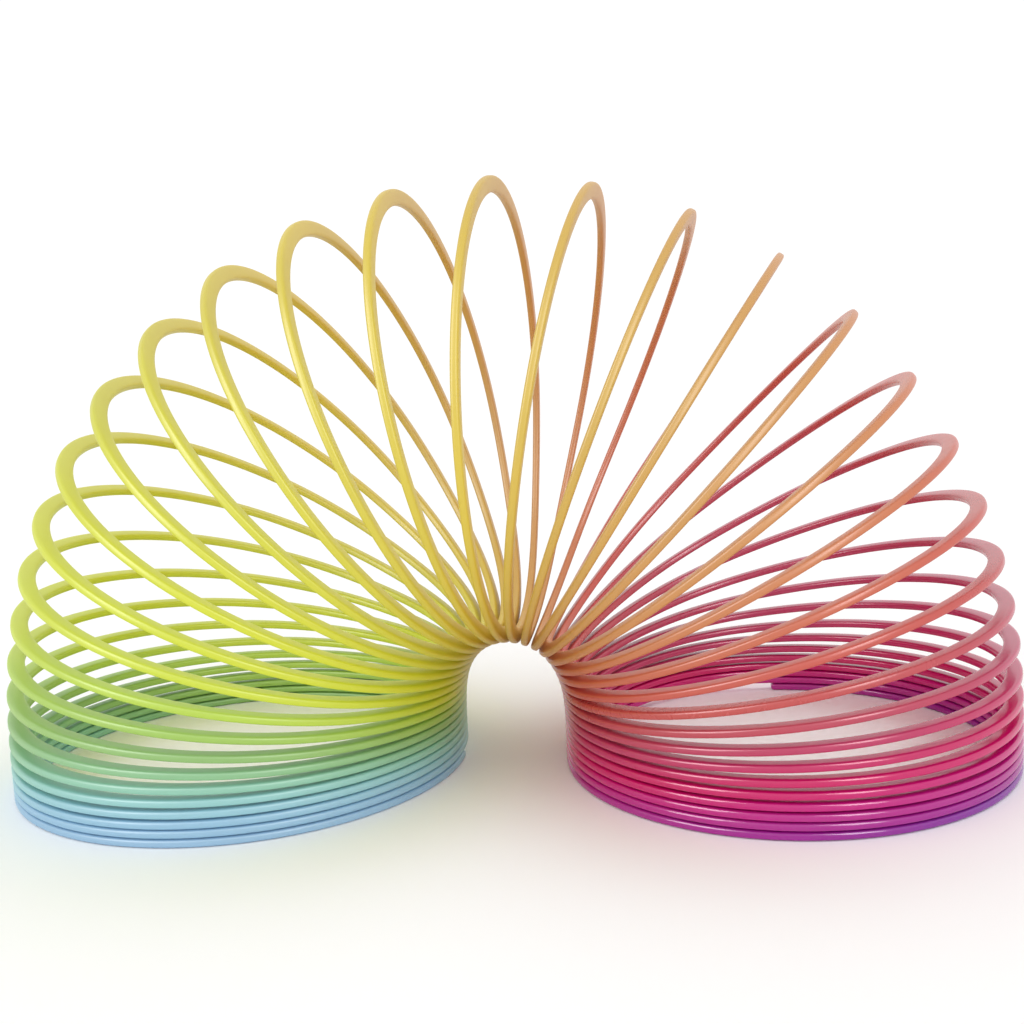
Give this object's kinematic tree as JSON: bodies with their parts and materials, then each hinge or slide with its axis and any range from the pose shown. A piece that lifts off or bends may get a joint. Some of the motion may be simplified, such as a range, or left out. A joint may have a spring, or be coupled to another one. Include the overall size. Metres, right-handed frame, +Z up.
{
  "type": "spring coil toy",
  "caption": "Flat-strip plastic coil spring toy with a rainbow colour run, standing as an arch on its two closed ends; bends, folds and walks.",
  "frame": {"origin": "on the ground under the middle of the arch, at the bottom centre of the bounding box", "axes": "+Z up, +X from the left foot to the right foot along the arch, -Y the front that is seen first"},
  "size_m": [0.1674, 0.075, 0.0961],
  "materials": {
    "sky_blue_plastic": "smooth moulded plastic, glossy and slightly translucent",
    "green_plastic": "smooth moulded plastic, glossy and slightly translucent",
    "lime_plastic": "smooth moulded plastic, glossy and slightly translucent",
    "yellow_plastic": "smooth moulded plastic, glossy and slightly translucent",
    "orange_plastic": "smooth moulded plastic, glossy and slightly translucent",
    "coral_plastic": "smooth moulded plastic, glossy and slightly translucent",
    "magenta_plastic": "smooth moulded plastic, glossy and slightly translucent"
  },
  "bodies": {
    "left_end_coil": {"left_end_coil": "sky_blue_plastic"},
    "left_foot_coil_2": {"left_foot_coil_2": "sky_blue_plastic"},
    "left_foot_coil_3": {"left_foot_coil_3": "sky_blue_plastic"},
    "left_foot_coil_4": {"left_foot_coil_4": "green_plastic"},
    "left_foot_coil_5": {"left_foot_coil_5": "green_plastic"},
    "left_foot_coil_6": {"left_foot_coil_6": "green_plastic"},
    "arch_coil_1": {"arch_coil_1": "green_plastic"},
    "arch_coil_2": {"arch_coil_2": "green_plastic"},
    "arch_coil_3": {"arch_coil_3": "green_plastic"},
    "arch_coil_4": {"arch_coil_4": "lime_plastic"},
    "arch_coil_5": {"arch_coil_5": "lime_plastic"},
    "arch_coil_6": {"arch_coil_6": "lime_plastic"},
    "arch_coil_7": {"arch_coil_7": "lime_plastic"},
    "arch_coil_8": {"arch_coil_8": "lime_plastic"},
    "arch_coil_9": {"arch_coil_9": "lime_plastic"},
    "arch_coil_10": {"arch_coil_10": "yellow_plastic"},
    "arch_coil_11": {"arch_coil_11": "yellow_plastic"},
    "arch_coil_12": {"arch_coil_12": "yellow_plastic"},
    "arch_coil_13": {"arch_coil_13": "yellow_plastic"},
    "arch_coil_14": {"arch_coil_14": "yellow_plastic"},
    "arch_coil_15": {"arch_coil_15": "yellow_plastic"},
    "arch_coil_16": {"arch_coil_16": "yellow_plastic"},
    "arch_coil_17": {"arch_coil_17": "orange_plastic"},
    "arch_coil_18": {"arch_coil_18": "orange_plastic"},
    "arch_coil_19": {"arch_coil_19": "orange_plastic"},
    "arch_coil_20": {"arch_coil_20": "orange_plastic"},
    "arch_coil_21": {"arch_coil_21": "orange_plastic"},
    "arch_coil_22": {"arch_coil_22": "orange_plastic"},
    "arch_coil_23": {"arch_coil_23": "coral_plastic"},
    "arch_coil_24": {"arch_coil_24": "coral_plastic"},
    "arch_coil_25": {"arch_coil_25": "coral_plastic"},
    "right_foot_coil_6": {"right_foot_coil_6": "coral_plastic"},
    "right_foot_coil_5": {"right_foot_coil_5": "coral_plastic"},
    "right_foot_coil_4": {"right_foot_coil_4": "coral_plastic"},
    "right_foot_coil_3": {"right_foot_coil_3": "magenta_plastic"},
    "right_foot_coil_2": {"right_foot_coil_2": "magenta_plastic"},
    "right_end_coil": {"right_end_coil": "magenta_plastic"}
  },
  "joints": [
    {"name": "left_foot_lift", "type": "hinge", "parent": "left_end_coil", "child": "left_foot_coil_2", "pos_m": [-0.00871, 0, 0.00203], "axis": [0, 1, 0], "range_deg": [0, 2], "stiffness_Nm_per_rad": 1},
    {"name": "left_foot_coil_3_hinge", "type": "hinge", "parent": "left_foot_coil_2", "child": "left_foot_coil_3", "pos_m": [-0.00871, 0, 0.00341], "axis": [0, 1, 0], "range_deg": [0, 2], "stiffness_Nm_per_rad": 1},
    {"name": "left_foot_coil_4_hinge", "type": "hinge", "parent": "left_foot_coil_3", "child": "left_foot_coil_4", "pos_m": [-0.00871, 0, 0.00479], "axis": [0, 1, 0], "range_deg": [0, 2], "stiffness_Nm_per_rad": 1},
    {"name": "left_foot_coil_5_hinge", "type": "hinge", "parent": "left_foot_coil_4", "child": "left_foot_coil_5", "pos_m": [-0.0087, 0, 0.00617], "axis": [0, 1, 0], "range_deg": [0, 2], "stiffness_Nm_per_rad": 1},
    {"name": "left_foot_coil_6_hinge", "type": "hinge", "parent": "left_foot_coil_5", "child": "left_foot_coil_6", "pos_m": [-0.00867, 0, 0.00755], "axis": [0, 1, 0], "range_deg": [0, 2], "stiffness_Nm_per_rad": 1},
    {"name": "arch_coil_1_hinge", "type": "hinge", "parent": "left_foot_coil_6", "child": "arch_coil_1", "pos_m": [-0.00861, 0, 0.00893], "axis": [0, 1, 0], "range_deg": [-1.27, 0.13], "stiffness_Nm_per_rad": 1},
    {"name": "arch_coil_2_hinge", "type": "hinge", "parent": "arch_coil_1", "child": "arch_coil_2", "pos_m": [-0.00851, 0, 0.0103], "axis": [0, 1, 0], "range_deg": [-1.97, 0.2], "stiffness_Nm_per_rad": 1},
    {"name": "arch_coil_3_hinge", "type": "hinge", "parent": "arch_coil_2", "child": "arch_coil_3", "pos_m": [-0.00834, 0, 0.01167], "axis": [0, 1, 0], "range_deg": [-2.81, 0.28], "stiffness_Nm_per_rad": 1},
    {"name": "arch_coil_4_hinge", "type": "hinge", "parent": "arch_coil_3", "child": "arch_coil_4", "pos_m": [-0.00809, 0, 0.01303], "axis": [0, 1, 0], "range_deg": [-3.74, 0.37], "stiffness_Nm_per_rad": 1},
    {"name": "arch_coil_5_hinge", "type": "hinge", "parent": "arch_coil_4", "child": "arch_coil_5", "pos_m": [-0.00772, 0, 0.01436], "axis": [0, 1, 0], "range_deg": [-4.73, 0.47], "stiffness_Nm_per_rad": 1},
    {"name": "arch_coil_6_hinge", "type": "hinge", "parent": "arch_coil_5", "child": "arch_coil_6", "pos_m": [-0.00723, 0, 0.01565], "axis": [0, 1, 0], "range_deg": [-5.72, 0.57], "stiffness_Nm_per_rad": 1},
    {"name": "arch_coil_7_hinge", "type": "hinge", "parent": "arch_coil_6", "child": "arch_coil_7", "pos_m": [-0.0066, 0, 0.01688], "axis": [0, 1, 0], "range_deg": [-6.69, 0.67], "stiffness_Nm_per_rad": 1},
    {"name": "arch_coil_8_hinge", "type": "hinge", "parent": "arch_coil_7", "child": "arch_coil_8", "pos_m": [-0.00581, 0, 0.01801], "axis": [0, 1, 0], "range_deg": [-7.6, 0.76], "stiffness_Nm_per_rad": 1},
    {"name": "arch_coil_9_hinge", "type": "hinge", "parent": "arch_coil_8", "child": "arch_coil_9", "pos_m": [-0.00486, 0, 0.01902], "axis": [0, 1, 0], "range_deg": [-8.43, 0.84], "stiffness_Nm_per_rad": 1},
    {"name": "arch_coil_10_hinge", "type": "hinge", "parent": "arch_coil_9", "child": "arch_coil_10", "pos_m": [-0.00377, 0, 0.01986], "axis": [0, 1, 0], "range_deg": [-9.2, 0.92], "stiffness_Nm_per_rad": 1},
    {"name": "arch_coil_11_hinge", "type": "hinge", "parent": "arch_coil_10", "child": "arch_coil_11", "pos_m": [-0.00255, 0, 0.0205], "axis": [0, 1, 0], "range_deg": [-9.88, 0.99], "stiffness_Nm_per_rad": 1},
    {"name": "arch_coil_12_hinge", "type": "hinge", "parent": "arch_coil_11", "child": "arch_coil_12", "pos_m": [-0.00123, 0, 0.02092], "axis": [0, 1, 0], "range_deg": [-10.48, 1.05], "stiffness_Nm_per_rad": 1},
    {"name": "left_arch_bend", "type": "hinge", "parent": "arch_coil_12", "child": "arch_coil_13", "pos_m": [0.00014, 0, 0.02107], "axis": [0, 1, 0], "range_deg": [-10.95, 1.09], "stiffness_Nm_per_rad": 1},
    {"name": "right_arch_bend", "type": "hinge", "parent": "arch_coil_13", "child": "arch_coil_14", "pos_m": [0.00151, 0, 0.02096], "axis": [0, 1, 0], "range_deg": [-11.24, 1.12], "stiffness_Nm_per_rad": 1},
    {"name": "arch_coil_15_hinge", "type": "hinge", "parent": "arch_coil_14", "child": "arch_coil_15", "pos_m": [0.00284, 0, 0.02058], "axis": [0, 1, 0], "range_deg": [-11.07, 1.11], "stiffness_Nm_per_rad": 1},
    {"name": "arch_coil_16_hinge", "type": "hinge", "parent": "arch_coil_15", "child": "arch_coil_16", "pos_m": [0.00407, 0, 0.01995], "axis": [0, 1, 0], "range_deg": [-10.56, 1.06], "stiffness_Nm_per_rad": 1},
    {"name": "arch_coil_17_hinge", "type": "hinge", "parent": "arch_coil_16", "child": "arch_coil_17", "pos_m": [0.00516, 0, 0.01911], "axis": [0, 1, 0], "range_deg": [-9.79, 0.98], "stiffness_Nm_per_rad": 1},
    {"name": "arch_coil_18_hinge", "type": "hinge", "parent": "arch_coil_17", "child": "arch_coil_18", "pos_m": [0.00609, 0, 0.01809], "axis": [0, 1, 0], "range_deg": [-8.81, 0.88], "stiffness_Nm_per_rad": 1},
    {"name": "arch_coil_19_hinge", "type": "hinge", "parent": "arch_coil_18", "child": "arch_coil_19", "pos_m": [0.00685, 0, 0.01694], "axis": [0, 1, 0], "range_deg": [-7.7, 0.77], "stiffness_Nm_per_rad": 1},
    {"name": "arch_coil_20_hinge", "type": "hinge", "parent": "arch_coil_19", "child": "arch_coil_20", "pos_m": [0.00744, 0, 0.01569], "axis": [0, 1, 0], "range_deg": [-6.52, 0.65], "stiffness_Nm_per_rad": 1},
    {"name": "arch_coil_21_hinge", "type": "hinge", "parent": "arch_coil_20", "child": "arch_coil_21", "pos_m": [0.00789, 0, 0.01439], "axis": [0, 1, 0], "range_deg": [-5.34, 0.53], "stiffness_Nm_per_rad": 1},
    {"name": "arch_coil_22_hinge", "type": "hinge", "parent": "arch_coil_21", "child": "arch_coil_22", "pos_m": [0.00821, 0, 0.01304], "axis": [0, 1, 0], "range_deg": [-4.21, 0.42], "stiffness_Nm_per_rad": 1},
    {"name": "arch_coil_23_hinge", "type": "hinge", "parent": "arch_coil_22", "child": "arch_coil_23", "pos_m": [0.00842, 0, 0.01168], "axis": [0, 1, 0], "range_deg": [-3.17, 0.32], "stiffness_Nm_per_rad": 1},
    {"name": "arch_coil_24_hinge", "type": "hinge", "parent": "arch_coil_23", "child": "arch_coil_24", "pos_m": [0.00856, 0, 0.01031], "axis": [0, 1, 0], "range_deg": [-2.25, 0.22], "stiffness_Nm_per_rad": 1},
    {"name": "arch_coil_25_hinge", "type": "hinge", "parent": "arch_coil_24", "child": "arch_coil_25", "pos_m": [0.00864, 0, 0.00893], "axis": [0, 1, 0], "range_deg": [-1.48, 0.15], "stiffness_Nm_per_rad": 1},
    {"name": "right_foot_coil_6_hinge", "type": "hinge", "parent": "arch_coil_25", "child": "right_foot_coil_6", "pos_m": [0.00868, 0, 0.00755], "axis": [0, 1, 0], "range_deg": [-0.8869, 0.0888], "stiffness_Nm_per_rad": 1},
    {"name": "right_foot_lift", "type": "hinge", "parent": "right_foot_coil_6", "child": "right_foot_coil_5", "pos_m": [0.0087, 0, 0.00617], "axis": [0, 1, 0], "range_deg": [0, 2], "stiffness_Nm_per_rad": 1},
    {"name": "right_foot_coil_4_hinge", "type": "hinge", "parent": "right_foot_coil_5", "child": "right_foot_coil_4", "pos_m": [0.00871, 0, 0.00479], "axis": [0, 1, 0], "range_deg": [0, 2], "stiffness_Nm_per_rad": 1},
    {"name": "right_foot_coil_3_hinge", "type": "hinge", "parent": "right_foot_coil_4", "child": "right_foot_coil_3", "pos_m": [0.00871, 0, 0.00341], "axis": [0, 1, 0], "range_deg": [0, 2], "stiffness_Nm_per_rad": 1},
    {"name": "right_foot_coil_2_hinge", "type": "hinge", "parent": "right_foot_coil_3", "child": "right_foot_coil_2", "pos_m": [0.00871, 0, 0.00203], "axis": [0, 1, 0], "range_deg": [0, 2], "stiffness_Nm_per_rad": 1},
    {"name": "right_end_coil_hinge", "type": "hinge", "parent": "right_foot_coil_2", "child": "right_end_coil", "pos_m": [0.00871, 0, 0.00065], "axis": [0, 1, 0], "range_deg": [0, 2], "stiffness_Nm_per_rad": 1}
  ],
  "couplings": [
    {"joint": "left_foot_coil_3_hinge", "follows": "left_foot_lift", "ratio": 1},
    {"joint": "left_foot_coil_4_hinge", "follows": "left_foot_lift", "ratio": 1},
    {"joint": "left_foot_coil_5_hinge", "follows": "left_foot_lift", "ratio": 1},
    {"joint": "left_foot_coil_6_hinge", "follows": "left_foot_lift", "ratio": 1},
    {"joint": "arch_coil_1_hinge", "follows": "left_arch_bend", "ratio": 0.1162},
    {"joint": "arch_coil_2_hinge", "follows": "left_arch_bend", "ratio": 0.1799},
    {"joint": "arch_coil_3_hinge", "follows": "left_arch_bend", "ratio": 0.2563},
    {"joint": "arch_coil_4_hinge", "follows": "left_arch_bend", "ratio": 0.3417},
    {"joint": "arch_coil_5_hinge", "follows": "left_arch_bend", "ratio": 0.4318},
    {"joint": "arch_coil_6_hinge", "follows": "left_arch_bend", "ratio": 0.5228},
    {"joint": "arch_coil_7_hinge", "follows": "left_arch_bend", "ratio": 0.611},
    {"joint": "arch_coil_8_hinge", "follows": "left_arch_bend", "ratio": 0.6939},
    {"joint": "arch_coil_9_hinge", "follows": "left_arch_bend", "ratio": 0.7703},
    {"joint": "arch_coil_10_hinge", "follows": "left_arch_bend", "ratio": 0.84},
    {"joint": "arch_coil_11_hinge", "follows": "left_arch_bend", "ratio": 0.9026},
    {"joint": "arch_coil_12_hinge", "follows": "left_arch_bend", "ratio": 0.957},
    {"joint": "arch_coil_15_hinge", "follows": "right_arch_bend", "ratio": 0.9852},
    {"joint": "arch_coil_16_hinge", "follows": "right_arch_bend", "ratio": 0.9397},
    {"joint": "arch_coil_17_hinge", "follows": "right_arch_bend", "ratio": 0.871},
    {"joint": "arch_coil_18_hinge", "follows": "right_arch_bend", "ratio": 0.7841},
    {"joint": "arch_coil_19_hinge", "follows": "right_arch_bend", "ratio": 0.6852},
    {"joint": "arch_coil_20_hinge", "follows": "right_arch_bend", "ratio": 0.5805},
    {"joint": "arch_coil_21_hinge", "follows": "right_arch_bend", "ratio": 0.4755},
    {"joint": "arch_coil_22_hinge", "follows": "right_arch_bend", "ratio": 0.3747},
    {"joint": "arch_coil_23_hinge", "follows": "right_arch_bend", "ratio": 0.2817},
    {"joint": "arch_coil_24_hinge", "follows": "right_arch_bend", "ratio": 0.1998},
    {"joint": "arch_coil_25_hinge", "follows": "right_arch_bend", "ratio": 0.1315},
    {"joint": "right_foot_coil_6_hinge", "follows": "right_arch_bend", "ratio": 0.0789},
    {"joint": "right_foot_coil_4_hinge", "follows": "right_foot_lift", "ratio": 1},
    {"joint": "right_foot_coil_3_hinge", "follows": "right_foot_lift", "ratio": 1},
    {"joint": "right_foot_coil_2_hinge", "follows": "right_foot_lift", "ratio": 1},
    {"joint": "right_end_coil_hinge", "follows": "right_foot_lift", "ratio": 1}
  ]
}
